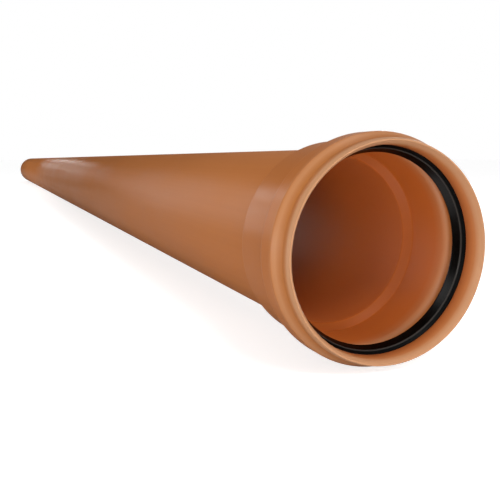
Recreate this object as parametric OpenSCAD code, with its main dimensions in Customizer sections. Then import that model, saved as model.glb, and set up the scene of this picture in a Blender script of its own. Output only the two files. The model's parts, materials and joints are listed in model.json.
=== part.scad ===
// Plastic drain pipe with a belled socket at one end and a rubber lip seal in the socket's bead.
// Lengths are in millimetres and angles in degrees. The pipe lies on the floor along X, socket at +X.

/* [Barrel] */
// Outside diameter of the barrel
barrel_d = 110; // [90:1:160]
// Wall thickness of the barrel and the socket
wall = 3.6; // [2.8:0.1:4.2]
// Laying length, from the spigot end to the foot of the sleeve
laying_length = 3000; // [500:50:6000]
// Length of the lead-in chamfer on the spigot
chamfer_length = 6; // [3:0.5:8]
// Slope of the lead-in chamfer
chamfer_angle = 15; // [8:1:16]

/* [Socket] */
// Depth of the sleeve, from the mouth to the shoulder
sleeve_depth = 62; // [50:1:90]
// Room all round between the sleeve and a spigot inside it
sleeve_clearance = 1; // [0.5:0.1:1.2]
// Slope of the shoulder between sleeve and barrel
shoulder_angle = 45; // [30:1:60]
// Rounding of the shoulder's outer edge
shoulder_round = 1.5; // [0.5:0.1:3]

/* [Lip] */
// How far the inside opens out at the mouth, over the sleeve
lip_opening = 2.5; // [2:0.1:2.7]
// Thickness of the lip's edge at the mouth
lip_edge = 0.7; // [0.5:0.1:0.9]
// Depth of the nose, where the outside curves in to the lip's edge
nose_depth = 2.6; // [2:0.1:4]
// Depth at which the flare of the mouth would meet the neck, before its rounding
flare_depth = 2.7; // [2.6:0.1:4]
// Rounding of the flare
flare_round = 8.5; // [3:0.1:9]
// Depth of the neck that keeps the seal in its groove
neck_depth = 12.5; // [11.5:0.1:13]
// How far the neck stands back from the sleeve's inside
neck_relief = 0.5; // [0.3:0.1:0.8]

/* [Bead] */
// Depth at which the bead starts to rise
bead_start = 7; // [6:0.1:8]
// Height of the bead over the sleeve
bead_height = 4.1; // [3.6:0.1:5]
// Length of the bead's crest between its two shoulders
crest_length = 12.6; // [12:0.1:18]
// Slope of the bead's front flank
bead_front_angle = 28; // [25:1:36]
// Slope of the bead's rear flank
bead_rear_angle = 40; // [36:1:48]
// Rounding of the bead's front shoulder and of the valley before it
bead_round = 4; // [2:0.1:5]
// Rounding of the bead's rear shoulder
bead_rear_round = 3.5; // [2:0.1:6]
// Rounding of the inside, where the groove runs out into the sleeve
groove_round = 10; // [6:0.1:11]

/* [Seal] */
// Room between the seal and the walls of its groove
seal_clearance = 0.2; // [0.1:0.05:0.4]
// How far the sealing lip reaches inside the spigot's surface
seal_squeeze = 2.2; // [1.2:0.1:3]
// Run of the sealing lip, from the neck to its edge
seal_lip_run = 6.8; // [6:0.1:8]
// Thickness of the sealing lip's edge
seal_lip_edge = 1.2; // [0.9:0.1:1.6]
// Run from the neck to the ridge on the seal's face
seal_ridge_run = 2.2; // [1.8:0.1:3]
// Drop from the neck to that ridge
seal_ridge_drop = 1.8; // [1.2:0.1:2]
// Rounding of that ridge
seal_ridge_round = 2; // [0.5:0.1:3]
// Run from the neck to the root of the sealing lip's back
seal_root_run = 6; // [5:0.1:7]
// Thickness of the tail behind the sealing lip
seal_tail = 1; // [0.9:0.1:2]

/* [Hidden] */

$fn = 120;
arc_step = 15;
edge_round = 0.3;
bend_round = 2;
nose_round = 6;
tail_round = 0.8;
root_round = 1;

pipe_color = [0.65, 0.37, 0.18];
rubber_color = [0.08, 0.08, 0.08];

// Radii, from the inside out
barrel_r = barrel_d / 2;
bore_r = barrel_r - wall;
spigot_end_r = barrel_r - chamfer_length * tan(chamfer_angle);
sleeve_in_r = barrel_r + sleeve_clearance;
sleeve_out_r = sleeve_in_r + wall;
bead_r = sleeve_out_r + bead_height;
groove_r = bead_r - wall;
neck_r = sleeve_in_r + neck_relief;
lip_in_r = sleeve_in_r + lip_opening;
lip_front_r = lip_in_r + lip_edge;
lip_out_r = neck_r + wall;

// Depths from the mouth: a wall that keeps its thickness shifts its inner bend by wall * tan(slope / 2)
overall_length = laying_length + sleeve_depth;
crest_front = bead_start + (bead_r - lip_out_r) / tan(bead_front_angle);
crest_rear = crest_front + crest_length;
bead_end = crest_rear + bead_height / tan(bead_rear_angle);
groove_front = crest_front + wall * tan(bead_front_angle / 2);
groove_rear = crest_rear - wall * tan(bead_rear_angle / 2);
sleeve_start = bead_end - wall * tan(bead_rear_angle / 2);
shoulder_start = sleeve_depth + wall * tan(shoulder_angle / 2);
shoulder_end = shoulder_start + (sleeve_out_r - barrel_r) / tan(shoulder_angle);
bore_start = sleeve_depth + (sleeve_in_r - bore_r) / tan(shoulder_angle);

// Seal: its flanks keep the clearance from the groove's flanks
seal_out_r = groove_r - seal_clearance;
tail_r = seal_out_r - seal_tail;
seal_tip_r = barrel_r - seal_squeeze;
seal_tip = neck_depth + seal_lip_run;
lip_back = seal_tip + seal_lip_edge;
neck_slope = atan((groove_r - neck_r) / (groove_front - neck_depth));

// Turn about its own axis at which the pipe comes to rest
rest_turn = 4.35;

// Rest on a level floor: the pipe touches it at the spigot's chamfer and at the rear of the bead's crest
rest_depth = crest_rear - bead_rear_round * tan(bead_rear_angle / 2);
rest_span = overall_length - rest_depth - chamfer_length;
rest_tilt = atan((bead_r - barrel_r) / rest_span);
axis_height = barrel_r * cos(rest_tilt) - chamfer_length * sin(rest_tilt);

function unit(v) = v / norm(v);

// Depth of the groove's front and rear flank at radius r
function groove_front_at(r) = neck_depth + (r - neck_r) / tan(neck_slope);
function groove_rear_at(r) = sleeve_start - (r - sleeve_in_r) / tan(bead_rear_angle);

// Depth of the seal's front and rear flank at radius r
function seal_front_at(r) = groove_front_at(r) + seal_clearance / sin(neck_slope);
function seal_rear_at(r) = groove_rear_at(r) - seal_clearance / sin(bead_rear_angle);

// Arc of the given radius in the corner at b, between its neighbours a and c
function corner_arc(a, b, c, radius) =
    let (
        to_a = unit(a - b),
        to_c = unit(c - b),
        half = acos(to_a * to_c) / 2,
        centre = b + unit(to_a + to_c) * radius / sin(half),
        from = b + to_a * radius / tan(half) - centre,
        side = sign(cross(b - a, c - b)),
        turn = side * (180 - 2 * half),
        steps = ceil(abs(turn) / arc_step)
    )
    [for (i = [0 : steps])
        let (t = turn * i / steps)
        centre + [from.x * cos(t) - from.y * sin(t), from.x * sin(t) + from.y * cos(t)]];

// Closed outline through corners [radius from the axis, depth from the mouth, rounding]
function rounded_outline(corners) =
    let (
        n = len(corners),
        at = [for (p = corners) [p[0], overall_length - p[1]]]
    )
    [for (i = [0 : n - 1])
        each corner_arc(at[(i + n - 1) % n], at[i], at[(i + 1) % n], corners[i][2])];

// Turns an outline about the pipe's axis and lays the result on the floor
module turned(corners) {
    translate([-overall_length / 2 * cos(rest_tilt), 0, axis_height])
        rotate([0, 90 - rest_tilt, 0])
            rotate([0, 0, rest_turn])
                rotate_extrude()
                    polygon(rounded_outline(corners));
}

module pipe() {
    outside = [
        [lip_front_r, 0, edge_round],
        [lip_out_r, nose_depth, nose_round],
        [lip_out_r, bead_start, bead_round],
        [bead_r, crest_front, bead_round],
        [bead_r, crest_rear, bead_rear_round],
        [sleeve_out_r, bead_end, groove_round - wall],
        [sleeve_out_r, shoulder_start, shoulder_round],
        [barrel_r, shoulder_end, bend_round],
        [barrel_r, overall_length - chamfer_length, edge_round],
        [spigot_end_r, overall_length, edge_round]
    ];
    inside = [
        [bore_r, overall_length, edge_round],
        [bore_r, bore_start, bend_round],
        [sleeve_in_r, sleeve_depth, bend_round],
        [sleeve_in_r, sleeve_start, groove_round],
        [groove_r, groove_rear, bend_round],
        [groove_r, groove_front, bend_round],
        [neck_r, neck_depth, edge_round],
        [neck_r, flare_depth, flare_round],
        [lip_in_r, 0, edge_round]
    ];
    color(pipe_color) turned(concat(outside, inside));
}

module seal_ring() {
    body = [
        [seal_out_r, seal_front_at(seal_out_r), bend_round],
        [seal_out_r, seal_rear_at(seal_out_r), tail_round],
        [tail_r, seal_rear_at(tail_r), edge_round],
        [tail_r, neck_depth + seal_root_run, root_round]
    ];
    lip = [
        [seal_tip_r + edge_round, lip_back, edge_round],
        [seal_tip_r, seal_tip, edge_round],
        [neck_r - seal_ridge_drop, neck_depth + seal_ridge_run, seal_ridge_round],
        [neck_r, seal_front_at(neck_r), edge_round]
    ];
    color(rubber_color) turned(concat(body, lip));
}

pipe();
seal_ring();
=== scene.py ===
"""Looks of a plastic drain pipe with a belled socket and a rubber lip seal, lying on a pale floor."""

import json
import math

import bpy
import numpy as np
from mathutils import Matrix, Vector


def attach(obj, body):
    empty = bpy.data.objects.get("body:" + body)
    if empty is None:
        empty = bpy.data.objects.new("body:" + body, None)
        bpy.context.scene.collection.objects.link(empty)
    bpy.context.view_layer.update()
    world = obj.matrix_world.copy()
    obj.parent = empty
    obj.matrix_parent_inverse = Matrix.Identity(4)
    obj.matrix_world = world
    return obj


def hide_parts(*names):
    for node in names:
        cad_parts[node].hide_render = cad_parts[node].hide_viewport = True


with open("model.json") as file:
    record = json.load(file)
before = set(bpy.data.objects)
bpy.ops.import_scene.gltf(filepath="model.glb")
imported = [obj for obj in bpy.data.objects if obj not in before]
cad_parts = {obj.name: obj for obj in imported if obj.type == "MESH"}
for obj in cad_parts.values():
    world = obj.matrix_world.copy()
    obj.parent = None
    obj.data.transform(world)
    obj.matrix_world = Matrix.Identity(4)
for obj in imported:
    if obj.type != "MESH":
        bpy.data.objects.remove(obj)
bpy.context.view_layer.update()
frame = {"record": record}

MM = 0.001
WHITE = (1, 1, 1, 1)
mounts = {m["name"]: m for m in frame["record"]["mounts"]}

# Barrel, in millimetres and degrees like all sizes of the pipe and its seal below
barrel_r = mounts["spigot"]["dims"]["r_mm"]
wall = 3.6
laying_length = 3000
chamfer_length = 6
chamfer_angle = 15

# Sleeve of the socket and its shoulder
sleeve_depth = 62
sleeve_clearance = 1
shoulder_angle = 45
shoulder_round = 1.5

# Lip at the mouth
lip_opening = 2.5
lip_edge = 0.7
nose_depth = 2.6
nose_round = 6
flare_depth = 2.7
flare_round = 8.5
neck_depth = 12.5
neck_relief = 0.5

# Bead and the groove inside it
bead_start = 7
bead_height = 4.1
crest_length = 12.6
bead_front_angle = 28
bead_rear_angle = 40
bead_round = 4
bead_rear_round = 3.5
groove_round = 10
edge_round = 0.3
bend_round = 2

# Seal
seal_clearance = 0.2
seal_squeeze = 2.2
seal_lip_run = 6.8
seal_lip_edge = 1.2
seal_ridge_run = 2.2
seal_ridge_drop = 1.8
seal_ridge_round = 2
seal_root_run = 6
seal_tail = 1
tail_round = 0.8
root_round = 1

# Fineness of the turned meshes
ARC_STEP = 6
SEGMENTS = 288


def tan(degrees):
    return math.tan(math.radians(degrees))


def sin(degrees):
    return math.sin(math.radians(degrees))


# Radii, from the inside out
bore_r = barrel_r - wall
sleeve_in_r = barrel_r + sleeve_clearance
sleeve_out_r = sleeve_in_r + wall
bead_r = sleeve_out_r + bead_height
groove_r = bead_r - wall
neck_r = sleeve_in_r + neck_relief
lip_in_r = sleeve_in_r + lip_opening
lip_front_r = lip_in_r + lip_edge
lip_out_r = neck_r + wall
spigot_end_r = barrel_r - chamfer_length * tan(chamfer_angle)

# Depths from the mouth
overall_length = laying_length + sleeve_depth
crest_front = bead_start + (bead_r - lip_out_r) / tan(bead_front_angle)
crest_rear = crest_front + crest_length
bead_end = crest_rear + bead_height / tan(bead_rear_angle)
groove_front = crest_front + wall * tan(bead_front_angle / 2)
groove_rear = crest_rear - wall * tan(bead_rear_angle / 2)
sleeve_start = bead_end - wall * tan(bead_rear_angle / 2)
shoulder_start = sleeve_depth + wall * tan(shoulder_angle / 2)
shoulder_end = shoulder_start + (sleeve_out_r - barrel_r) / tan(shoulder_angle)
bore_start = sleeve_depth + (sleeve_in_r - bore_r) / tan(shoulder_angle)

# Place of the mouth's centre, with local +X out of the mouth along the axis
mouth = Vector(mounts["socket"]["pos_m"])
axis = Vector(mounts["socket"]["axis"]).normalized()
across_y = Vector((0, 1, 0))
up = axis.cross(across_y)
pipe_place = Matrix((axis, across_y, up)).transposed().to_4x4()
pipe_place.translation = mouth


def on_axis(depth):
    """The point on the pipe's axis at a depth from the mouth, in millimetres."""
    return mouth - axis * depth * MM


def corner_arc(a, b, c, radius):
    """Points and outward normals of an arc that rounds the corner at b, between a and c."""
    to_a = (a - b) / np.linalg.norm(a - b)
    to_c = (c - b) / np.linalg.norm(c - b)
    half = math.acos(float(to_a @ to_c)) / 2
    middle = (to_a + to_c) / np.linalg.norm(to_a + to_c)
    centre = b + middle * radius / math.sin(half)
    start = b + to_a * radius / math.tan(half) - centre
    ahead, onward = b - a, c - b
    side = math.copysign(1, ahead[0] * onward[1] - ahead[1] * onward[0])
    turn = side * (math.pi - 2 * half)
    steps = math.ceil(abs(math.degrees(turn)) / ARC_STEP)
    arc = []
    for t in np.linspace(0, turn, steps + 1):
        spoke = np.array([start[0] * math.cos(t) - start[1] * math.sin(t),
                          start[0] * math.sin(t) + start[1] * math.cos(t)])
        arc.append((centre + spoke, side * spoke / radius))
    return arc


def rounded_outline(corners):
    """Closed outline through corners (radius, depth, rounding), as points and normals in that plane."""
    at = [np.array(corner[:2], float) for corner in corners]
    count = len(at)
    outline = []
    for i, corner in enumerate(corners):
        outline += corner_arc(at[i - 1], at[i], at[(i + 1) % count], corner[2])
    return outline


def turned(name, corners, material):
    """A closed mesh made by turning an outline about the pipe's axis, with its true normals."""
    outline = rounded_outline(corners)
    points = np.array([p for p, _ in outline]) * MM
    normals = np.array([n for _, n in outline])
    angle = np.arange(SEGMENTS) * 2 * math.pi / SEGMENTS
    across = np.stack([np.cos(angle), np.sin(angle)], 1)

    def swept(table):
        along = np.repeat(-table[None, :, 1:2], SEGMENTS, 0)
        around = across[:, None, :] * table[None, :, 0:1]
        return np.concatenate([along, around], 2).reshape(-1, 3)

    count = len(points)
    i = np.arange(SEGMENTS)[:, None]
    j = np.arange(count)[None, :]
    i_next, j_next = (i + 1) % SEGMENTS, (j + 1) % count
    faces = np.stack([i * count + j, i * count + j_next, i_next * count + j_next, i_next * count + j], 2)
    mesh = bpy.data.meshes.new(name)
    mesh.from_pydata(swept(points).tolist(), [], faces.reshape(-1, 4).tolist())
    mesh.polygons.foreach_set("use_smooth", [True] * len(mesh.polygons))
    mesh.normals_split_custom_set_from_vertices(swept(normals).tolist())
    mesh.transform(pipe_place)
    mesh.materials.append(material)
    mesh.update()
    piece = bpy.data.objects.new(name, mesh)
    bpy.context.scene.collection.objects.link(piece)
    return piece


def new_material(name):
    material = bpy.data.materials.new(name)
    material.use_nodes = True
    tree = material.node_tree
    return material, tree, tree.nodes["Principled BSDF"]


def add(tree, kind, **inputs):
    """A new node, with its inputs set by name."""
    node = tree.nodes.new(kind)
    for key, value in inputs.items():
        node.inputs[key.replace("_", " ")].default_value = value
    return node


def noise_along(tree, scale, **settings):
    """Noise in the pipe's own coordinates, with its own scale along X, Y and Z."""
    place = tree.nodes.new("ShaderNodeTexCoord")
    stretch = add(tree, "ShaderNodeMapping", Scale=scale)
    noise = add(tree, "ShaderNodeTexNoise", Scale=1, **settings)
    tree.links.new(place.outputs["Object"], stretch.inputs["Vector"])
    tree.links.new(stretch.outputs["Vector"], noise.inputs["Vector"])
    return noise.outputs["Fac"]


def ranged(tree, value, low, high, new_low, new_high):
    """The value, mapped from one range to another and held inside it."""
    node = add(tree, "ShaderNodeMapRange", From_Min=low, From_Max=high, To_Min=new_low, To_Max=new_high)
    tree.links.new(value, node.inputs["Value"])
    return node.outputs["Result"]


def blended(tree, share, first, second):
    """A colour between two others, each a plain colour or a socket."""
    node = tree.nodes.new("ShaderNodeMix")
    node.data_type = "RGBA"
    tree.links.new(share, node.inputs["Factor"])
    for socket, colour in ((node.inputs[6], first), (node.inputs[7], second)):
        if isinstance(colour, tuple):
            socket.default_value = (*colour, 1)
        else:
            tree.links.new(colour, socket)
    return node.outputs[2]


def ramp(tree, value, stops):
    """A grey that follows stops (value, grey) in between and stays level outside them."""
    low, high = stops[0][0], stops[-1][0]
    node = tree.nodes.new("ShaderNodeValToRGB")
    elements = node.color_ramp.elements
    elements.remove(elements[1])
    for at, grey in stops:
        place = (at - low) / (high - low)
        element = elements.new(place) if place else elements[0]
        element.position = place
        element.color = (grey, grey, grey, 1)
    tree.links.new(ranged(tree, value, low, high, 0, 1), node.inputs["Fac"])
    return node.outputs["Color"]


def math_node(tree, operation, first, second):
    """One sum, product and so on of two sockets."""
    node = tree.nodes.new("ShaderNodeMath")
    node.operation = operation
    tree.links.new(first, node.inputs[0])
    tree.links.new(second, node.inputs[1])
    return node.outputs[0]


def place_on_pipe(tree):
    """A surface point's place along the axis, negative behind the mouth, and its radius, in millimetres."""
    link = tree.links.new
    place = tree.nodes.new("ShaderNodeTexCoord")
    local = add(tree, "ShaderNodeMapping", Location=mouth, Rotation=pipe_place.to_euler(), Scale=(MM, MM, MM))
    local.vector_type = "TEXTURE"
    parts = tree.nodes.new("ShaderNodeSeparateXYZ")
    across = tree.nodes.new("ShaderNodeVectorMath")
    across.operation = "MULTIPLY"
    across.inputs[1].default_value = (0, 1, 1)
    radius = tree.nodes.new("ShaderNodeVectorMath")
    radius.operation = "LENGTH"
    link(place.outputs["Object"], local.inputs["Vector"])
    link(local.outputs["Vector"], parts.inputs[0])
    link(local.outputs["Vector"], across.inputs[0])
    link(across.outputs["Vector"], radius.inputs[0])
    return parts.outputs["X"], radius.outputs["Value"]


PVC_DEEP = (0.354, 0.109, 0.021)
PVC_PALE = (0.436, 0.145, 0.031)
# Painted shade: the inside is deeper and redder, in place of the dim light bounced in the bore
PVC_INSIDE_SHADE = (0.385, 0.094, 0.0165)
# Painted shade for the inner shoulder, which faces the mouth and catches the front light
PVC_STEP_SHADE = (0.310, 0.072, 0.012)
# Paler tone: painted highlights on the lip, neck, bead and seat, and real wear on the spigot's end
PVC_WEAR_AND_HIGHLIGHT = (0.400, 0.200, 0.100)
# Painted shade on the inner neck next to the seal
PVC_NECK_SHADE = (0.200, 0.055, 0.014)
# Painted shade in the valley between the lip and the bead
PVC_VALLEY_SHADE = (0.260, 0.100, 0.032)

# Half of the range in which the inner shoulder's painted shade fades
STEP_FADE = 1

# Where the plastic has painted highlights, painted shade, a worn spigot end and a smoother sleeve: stops of
# place along the axis and share
LIP_HIGHLIGHT = [(-7, 0), (-5, 0.15), (-2, 1), (0, 1)]
BEAD_HIGHLIGHT = [(-18, 0), (-16, 0.05), (-14, 0.25), (-12.5, 0.6), (-11, 0.65), (-9, 0.35), (-7, 0)]
NECK_HIGHLIGHT = [(-14, 0), (-12, 0.1), (-8, 0.2), (-4, 0.2), (-2, 0)]
NECK_SHADE = [(-15, 0), (-12.5, 0.85), (-10.5, 0.5), (-9, 0.28), (-6.5, 0)]
VALLEY_SHADE = [(-11, 0), (-9.5, 0.3), (-8.5, 0.45), (-6.5, 0.45), (-5, 0.15), (-4, 0)]
SEAT_HIGHLIGHT = [(-40, 0), (-34, 0.25), (-28, 0.95), (-24, 1), (-22, 0)]
STEP_SHADE = [
    (-bore_start - STEP_FADE, 0),
    (-bore_start + STEP_FADE, 1),
    (-sleeve_depth - STEP_FADE, 1),
    (-sleeve_depth + STEP_FADE, 0),
]
SLEEVE_SMOOTH = [(-shoulder_end, 0), (-shoulder_start, 1), (-crest_front, 1), (-bead_start, 0)]
SPIGOT_RUBBED = [
    (-overall_length, 0.5),
    (-overall_length + chamfer_length, 0.3),
    (-overall_length + 2 * chamfer_length, 0),
]

# Noise of the plastic: waves for each metre along X, Y and Z
STREAK_SCALE = (3, 420, 420)
CLOUD_SCALE = (6, 14, 14)
SKIN_SCALE = (900, 900, 900)

# Part of the noise's range that is used, and what it gives: shares of the pale tone, and roughness
NOISE_RANGE = (0.3, 0.7)
STREAK_SHARE = (0.15, 0.35)
CLOUD_SHARE = (0.10, 0.40)
PVC_ROUGHNESS = (0.40, 0.48)
SLEEVE_TONE = 0.4
SLEEVE_POLISH = 0.1
PVC_SPECULAR = 0.15
BUMP_STRENGTH = 0.3
PVC_BUMP = 0.00003


def pvc_material():
    """Satin extruded plastic: streaks along the pipe, cloudy tone and a worn spigot end, with painted shade
    inside, on the inner shoulder, by the seal and in the valley, and paler painted highlights on the lip,
    neck, bead and seat.
    """
    material, tree, shader = new_material("pvc")
    link = tree.links.new
    along, radius = place_on_pipe(tree)
    streaks = noise_along(tree, STREAK_SCALE, Detail=4)
    clouds = noise_along(tree, CLOUD_SCALE, Detail=3)
    skin = noise_along(tree, SKIN_SCALE, Detail=2)

    # The middle of the wall parts the inside from the outside
    middle = ranged(tree, along, -shoulder_end, -sleeve_depth, barrel_r - wall / 2, sleeve_out_r - wall / 2)
    inside = ranged(tree, math_node(tree, "SUBTRACT", middle, radius), 0, 1, 0, 1)
    behind_neck = ranged(tree, along, -neck_depth, -flare_depth, 1, 0)

    # By radius alone, the barrel counts as in the mouth too, so what uses that is zero away from the mouth
    outside = ranged(tree, radius, lip_in_r, lip_out_r, 0, 1)
    in_mouth = ranged(tree, radius, lip_in_r, lip_out_r, 1, 0)
    bead = math_node(tree, "MULTIPLY", ramp(tree, along, BEAD_HIGHLIGHT), outside)
    rims = math_node(tree, "ADD", ramp(tree, along, LIP_HIGHLIGHT), ramp(tree, along, SPIGOT_RUBBED))
    seat = math_node(tree, "MULTIPLY", ramp(tree, along, SEAT_HIGHLIGHT), inside)
    neck = math_node(tree, "MULTIPLY", ramp(tree, along, NECK_HIGHLIGHT), in_mouth)
    outer_wear_and_highlight = math_node(tree, "ADD", rims, bead)
    inner_highlight = math_node(tree, "ADD", seat, neck)
    wear_and_highlight = math_node(tree, "ADD", outer_wear_and_highlight, inner_highlight)

    # The sleeve, stretched over a mould, is a little smoother and deeper than the barrel
    sleeve = ramp(tree, along, SLEEVE_SMOOTH)
    streak_tone = ranged(tree, streaks, *NOISE_RANGE, *STREAK_SHARE)
    cloud_tone = ranged(tree, clouds, *NOISE_RANGE, *CLOUD_SHARE)
    tone = math_node(tree, "ADD", streak_tone, cloud_tone)
    tone = math_node(tree, "MULTIPLY", tone, ranged(tree, sleeve, 0, 1, 1, SLEEVE_TONE))
    colour = blended(tree, tone, PVC_DEEP, PVC_PALE)
    # Painted shade: the inside of the pipe takes the deeper, redder tone
    colour = blended(tree, math_node(tree, "MULTIPLY", inside, behind_neck), colour, PVC_INSIDE_SHADE)
    # Painted shade: the inner shoulder is darker in tone to dim the front light on it
    step_shade = math_node(tree, "MULTIPLY", ramp(tree, along, STEP_SHADE), inside)
    colour = blended(tree, step_shade, colour, PVC_STEP_SHADE)
    # Paler painted highlights on the lip, neck, bead and seat, and real wear at the spigot's end
    colour = blended(tree, wear_and_highlight, colour, PVC_WEAR_AND_HIGHLIGHT)
    # Painted shade on the inner neck next to the seal
    neck_shade_share = math_node(tree, "MULTIPLY", ramp(tree, along, NECK_SHADE), in_mouth)
    colour = blended(tree, neck_shade_share, colour, PVC_NECK_SHADE)
    # Painted shade in the valley between the lip and the bead
    dust_and_shade = math_node(tree, "MULTIPLY", ramp(tree, along, VALLEY_SHADE), outside)
    link(blended(tree, dust_and_shade, colour, PVC_VALLEY_SHADE), shader.inputs["Base Color"])
    roughness = ranged(tree, clouds, *NOISE_RANGE, *PVC_ROUGHNESS)
    polish = ranged(tree, sleeve, 0, 1, 0, SLEEVE_POLISH)
    link(math_node(tree, "SUBTRACT", roughness, polish), shader.inputs["Roughness"])
    shader.inputs["Specular IOR Level"].default_value = PVC_SPECULAR
    bump = add(tree, "ShaderNodeBump", Strength=BUMP_STRENGTH, Distance=PVC_BUMP)
    link(math_node(tree, "ADD", streaks, skin), bump.inputs["Height"])
    link(bump.outputs["Normal"], shader.inputs["Normal"])
    return material


RUBBER_DEEP = (0.0006, 0.0006, 0.0005)
RUBBER_DUSTY = (0.0022, 0.0021, 0.0019)
# Paler grey for a painted highlight on the seal's ridge
RUBBER_HIGHLIGHT = (0.036, 0.032, 0.029)

# A painted highlight: the ridge on the seal's face is paler grey, in place of its highlight line
RIDGE_FADE = 0.6
ridge_depth = neck_depth + seal_ridge_run
RIDGE_HIGHLIGHT = [(-ridge_depth - RIDGE_FADE, 0), (-ridge_depth, 1), (-ridge_depth + RIDGE_FADE, 0)]

DUST_SCALE = (60, 60, 60)
GRAIN_SCALE = (1400, 1400, 1400)
DUST_RANGE = (0.45, 0.75)
RUBBER_ROUGHNESS = (0.20, 0.26)
RUBBER_SPECULAR = 0.06
RUBBER_BUMP = 0.00005


def rubber_material():
    """Black moulded rubber: fine grain with a trace of dust."""
    material, tree, shader = new_material("seal_rubber")
    link = tree.links.new
    dust_and_shade = noise_along(tree, DUST_SCALE, Detail=5)
    grain = noise_along(tree, GRAIN_SCALE, Detail=2)
    along, _ = place_on_pipe(tree)
    colour = blended(tree, ranged(tree, dust_and_shade, *DUST_RANGE, 0, 1), RUBBER_DEEP, RUBBER_DUSTY)
    # A painted highlight along the seal's ridge
    link(blended(tree, ramp(tree, along, RIDGE_HIGHLIGHT), colour, RUBBER_HIGHLIGHT), shader.inputs["Base Color"])
    link(ranged(tree, dust_and_shade, *NOISE_RANGE, *RUBBER_ROUGHNESS), shader.inputs["Roughness"])
    shader.inputs["Specular IOR Level"].default_value = RUBBER_SPECULAR
    bump = add(tree, "ShaderNodeBump", Strength=BUMP_STRENGTH, Distance=RUBBER_BUMP)
    link(grain, bump.inputs["Height"])
    link(bump.outputs["Normal"], shader.inputs["Normal"])
    return material


def make_pipe():
    outside = [
        (lip_front_r, 0, edge_round),
        (lip_out_r, nose_depth, nose_round),
        (lip_out_r, bead_start, bead_round),
        (bead_r, crest_front, bead_round),
        (bead_r, crest_rear, bead_rear_round),
        (sleeve_out_r, bead_end, groove_round - wall),
        (sleeve_out_r, shoulder_start, shoulder_round),
        (barrel_r, shoulder_end, bend_round),
        (barrel_r, overall_length - chamfer_length, edge_round),
        (spigot_end_r, overall_length, edge_round),
    ]
    inside = [
        (bore_r, overall_length, edge_round),
        (bore_r, bore_start, bend_round),
        (sleeve_in_r, sleeve_depth, bend_round),
        (sleeve_in_r, sleeve_start, groove_round),
        (groove_r, groove_rear, bend_round),
        (groove_r, groove_front, bend_round),
        (neck_r, neck_depth, edge_round),
        (neck_r, flare_depth, flare_round),
        (lip_in_r, 0, edge_round),
    ]
    pipe = turned("pipe_body", outside + inside, pvc_material())
    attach(pipe, "root")
    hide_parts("pipe")


def make_seal():
    seal_out_r = groove_r - seal_clearance
    tail_r = seal_out_r - seal_tail
    tip_r = barrel_r - seal_squeeze
    tip = neck_depth + seal_lip_run
    lip_back = tip + seal_lip_edge
    neck_slope = math.degrees(math.atan2(groove_r - neck_r, groove_front - neck_depth))

    def front_at(r):
        return neck_depth + (r - neck_r) / tan(neck_slope) + seal_clearance / sin(neck_slope)

    def rear_at(r):
        return sleeve_start - (r - sleeve_in_r) / tan(bead_rear_angle) - seal_clearance / sin(bead_rear_angle)

    corners = [
        (seal_out_r, front_at(seal_out_r), bend_round),
        (seal_out_r, rear_at(seal_out_r), tail_round),
        (tail_r, rear_at(tail_r), edge_round),
        (tail_r, neck_depth + seal_root_run, root_round),
        (tip_r + edge_round, lip_back, edge_round),
        (tip_r, tip, edge_round),
        (neck_r - seal_ridge_drop, ridge_depth, seal_ridge_round),
        (neck_r, front_at(neck_r), edge_round),
    ]
    seal = turned("lip_seal", corners, rubber_material())
    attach(seal, "root")
    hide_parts("seal_ring")


# Camera: where the mouth's centre lies from it in metres, and which way it looks in degrees
LENS = 46.92
SENSOR = 36
CAMERA_TURN = 21.61
CAMERA_PITCH = 8.06
MOUTH_RIGHT = 0.07425
MOUTH_DOWN = 0.00248
MOUTH_AHEAD = 0.33666
CLIP_START = 0.01
CLIP_END = 100


def make_camera():
    turn, pitch = math.radians(CAMERA_TURN), math.radians(CAMERA_PITCH)
    level = Vector((-math.cos(turn), math.sin(turn), 0))
    right = Vector((math.sin(turn), math.cos(turn), 0))
    ahead = level * math.cos(pitch) - Vector((0, 0, math.sin(pitch)))
    above = right.cross(ahead)
    data = bpy.data.cameras.new("camera")
    data.lens = LENS
    data.sensor_width = SENSOR
    data.clip_start = CLIP_START
    data.clip_end = CLIP_END
    camera = bpy.data.objects.new("camera", data)
    bpy.context.scene.collection.objects.link(camera)
    place = Matrix((right, above, -ahead)).transposed().to_4x4()
    place.translation = mouth - right * MOUTH_RIGHT + above * MOUTH_DOWN - ahead * MOUTH_AHEAD
    camera.matrix_world = place
    bpy.context.scene.camera = camera


# Light of the surroundings by its direction along X: a band before the mouth, a weaker one behind the spigot
SKY = [(-0.92, 0), (-0.8, 0.68), (-0.5, 0), (0, 0), (0.5, 1.3), (1, 0)]


def make_world():
    world = bpy.data.worlds.new("studio")
    world.use_nodes = True
    bpy.context.scene.world = world
    tree = world.node_tree
    link = tree.links.new
    place = tree.nodes.new("ShaderNodeTexCoord")
    parts = tree.nodes.new("ShaderNodeSeparateXYZ")
    light = tree.nodes["Background"]
    seen = add(tree, "ShaderNodeBackground", Color=WHITE, Strength=1)
    path = tree.nodes.new("ShaderNodeLightPath")
    mix = tree.nodes.new("ShaderNodeMixShader")
    link(place.outputs["Generated"], parts.inputs[0])
    link(ramp(tree, parts.outputs["X"], SKY), light.inputs["Color"])
    link(path.outputs["Is Camera Ray"], mix.inputs["Fac"])
    link(light.outputs[0], mix.inputs[1])
    link(seen.outputs[0], mix.inputs[2])
    link(mix.outputs[0], tree.nodes["World Output"].inputs["Surface"])


# Mirrored at a low angle, these lamps would burn out the side seen from the spigot's end
UNMIRRORED = ("front", "card")


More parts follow.
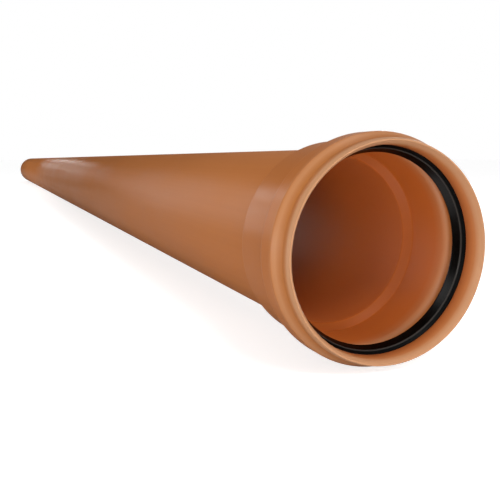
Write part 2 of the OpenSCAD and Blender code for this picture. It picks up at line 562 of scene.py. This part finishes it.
def add_lamp(name, kind, place, target, level, **settings):
    """A lamp unseen by the camera. At level 1, white that faces it at the target renders about white."""
    data = bpy.data.lights.new(name, kind)
    for key, value in settings.items():
        setattr(data, key, value)
    aim = target - place
    # The power of a point or a spot is that of a whole sphere
    sphere = 1 if kind == "AREA" else 4
    data.energy = level * sphere * (math.pi * aim.length) ** 2
    lamp = bpy.data.objects.new(name, data)
    lamp.location = place
    lamp.rotation_euler = aim.to_track_quat("-Z", "Y").to_euler()
    lamp.visible_camera = False
    lamp.visible_glossy = name not in UNMIRRORED
    bpy.context.scene.collection.objects.link(lamp)


def way(off_axis, turn):
    """A direction from the mouth, by degrees off the axis and degrees from straight up towards the left."""
    aside = sin(off_axis)
    return Vector((sin(90 - off_axis), -aside * sin(turn), aside * sin(90 - turn)))


def beside(depth, y, z):
    """A point by its depth from the mouth in millimetres and its place beside the axis in metres."""
    return on_axis(depth) + Vector((0, y, z))


# Soft boxes round the mouth: degrees off the axis, degrees from straight up towards the left, and level
SOFT_BOXES = {
    "front": (25, 80, 0.26),
    "left": (75, 80, 0.23),
    "above": (50, 0, 0.32),
    "top": (100, 350, 0.17),
    "right": (50, 300, 0.28),
}

# Distances and sizes of lamps are in metres
BOX_DISTANCE = 1.6
BOX_SIZE = 0.5

# Disks of light by the mouth, in the socket and bore, and on the hidden side: place, target, level and size
DISKS = {
    "low": (mouth + way(108, 88) * 1.2, mouth, 0.2, 0.12),
    "card": (mouth + Vector((0.3, -0.12, -0.05)), mouth + Vector((0, 0, 0.04)), 0.52, 0.08),
    "sleeve_up": (beside(40, 0, -0.03), on_axis(40), 1.5, 0.04),
    "sleeve_out": (beside(30, -0.03, 0.03), beside(28, 0.045, -0.033), 0.16, 0.03),
    "bore_glow": (on_axis(480), on_axis(210), 0.06, 0.09),
    "back_0": (beside(700, 1.7, 0.6), on_axis(700), 0.3, 0.8),
    "back_1": (beside(2300, 1.7, 0.6), on_axis(2300), 0.3, 0.8),
}

# One more disk for the far half of the side that the camera sees. Its narrow beam is brighter than its level
FAR_FILL = (beside(2300, -1.7, 0.6), on_axis(2300), 0.16, 0.8)
FAR_FILL_BEAM = 90

# Globes in the bore: depth, depth of the target, and level
GLOBES = {
    "bore_globe": (125, 165, 0.25),
    "spigot_globe": (2900, 2940, 0.375),
}
GLOBE_RADIUS = 0.015

# Narrow lamps that mirror as sheens: target, way from it to the lamp, level, degrees of the cone, and radius
on_sleeve = beside(50, -0.0522, 0.0294)
on_barrel = beside(90, -0.05225, 0.0165)
on_far_barrel = beside(1250, -0.03905, 0.0385)
SHEENS = {
    "sleeve_sheen": (on_sleeve, (-1.85, -0.472, 0.598), 0.040, 9, 0.13),
    "barrel_sheen_0": (on_barrel, (-1.884, -0.582, 0.332), 0.042, 7, 0.12),
    "barrel_sheen_1": (on_barrel, (-1.884, -0.66, 0.116), 0.033, 7, 0.12),
    "far_sheen_0": (on_far_barrel, (-1.1946, 0.017, 0.1531), 0.050, 4, 0.06),
    "far_sheen_1": (on_far_barrel, (-1.1946, -0.046, 0.0892), 0.036, 4, 0.06),
    "far_sheen_2": (on_far_barrel, (-1.1946, -0.109, 0.0253), 0.015, 4, 0.06),
}


def make_lamps():
    for name, (off_axis, turn, level) in SOFT_BOXES.items():
        place = mouth + way(off_axis, turn) * BOX_DISTANCE
        add_lamp(name, "AREA", place, mouth, level, shape="DISK", size=BOX_SIZE)
    for name, (place, target, level, size) in DISKS.items():
        add_lamp(name, "AREA", place, target, level, shape="DISK", size=size)
    place, target, level, size = FAR_FILL
    add_lamp("fill", "AREA", place, target, level,
             shape="DISK", size=size, spread=math.radians(FAR_FILL_BEAM))
    for name, (depth, target_depth, level) in GLOBES.items():
        add_lamp(name, "POINT", on_axis(depth), on_axis(target_depth), level, shadow_soft_size=GLOBE_RADIUS)
    for name, (target, behind, level, cone, radius) in SHEENS.items():
        add_lamp(name, "SPOT", target + Vector(behind), target, level,
                 spot_size=math.radians(cone), spot_blend=1, shadow_soft_size=radius)


FLOOR_HALF = 30
FLOOR_TONE = 0.62
FLOOR_GLOW = 0.73
FLOOR_ROUGHNESS = 0.9


def make_floor():
    corners = [(-FLOOR_HALF, -FLOOR_HALF, 0), (FLOOR_HALF, -FLOOR_HALF, 0),
               (FLOOR_HALF, FLOOR_HALF, 0), (-FLOOR_HALF, FLOOR_HALF, 0)]
    mesh = bpy.data.meshes.new("floor")
    mesh.from_pydata(corners, [], [(0, 1, 2, 3)])
    floor = bpy.data.objects.new("floor", mesh)
    bpy.context.scene.collection.objects.link(floor)
    material, tree, shader = new_material("floor")
    link = tree.links.new
    shader.inputs["Base Color"].default_value = (FLOOR_TONE, FLOOR_TONE, FLOOR_TONE, 1)
    shader.inputs["Roughness"].default_value = FLOOR_ROUGHNESS
    shader.inputs["Specular IOR Level"].default_value = 0
    path = tree.nodes.new("ShaderNodeLightPath")
    shader.inputs["Emission Color"].default_value = WHITE
    link(ranged(tree, path.outputs["Is Camera Ray"], 0, 1, 0, FLOOR_GLOW), shader.inputs["Emission Strength"])
    mesh.materials.append(material)


bpy.context.scene.view_settings.view_transform = "Standard"
make_camera()
make_world()
make_lamps()
make_floor()
make_pipe()
make_seal()
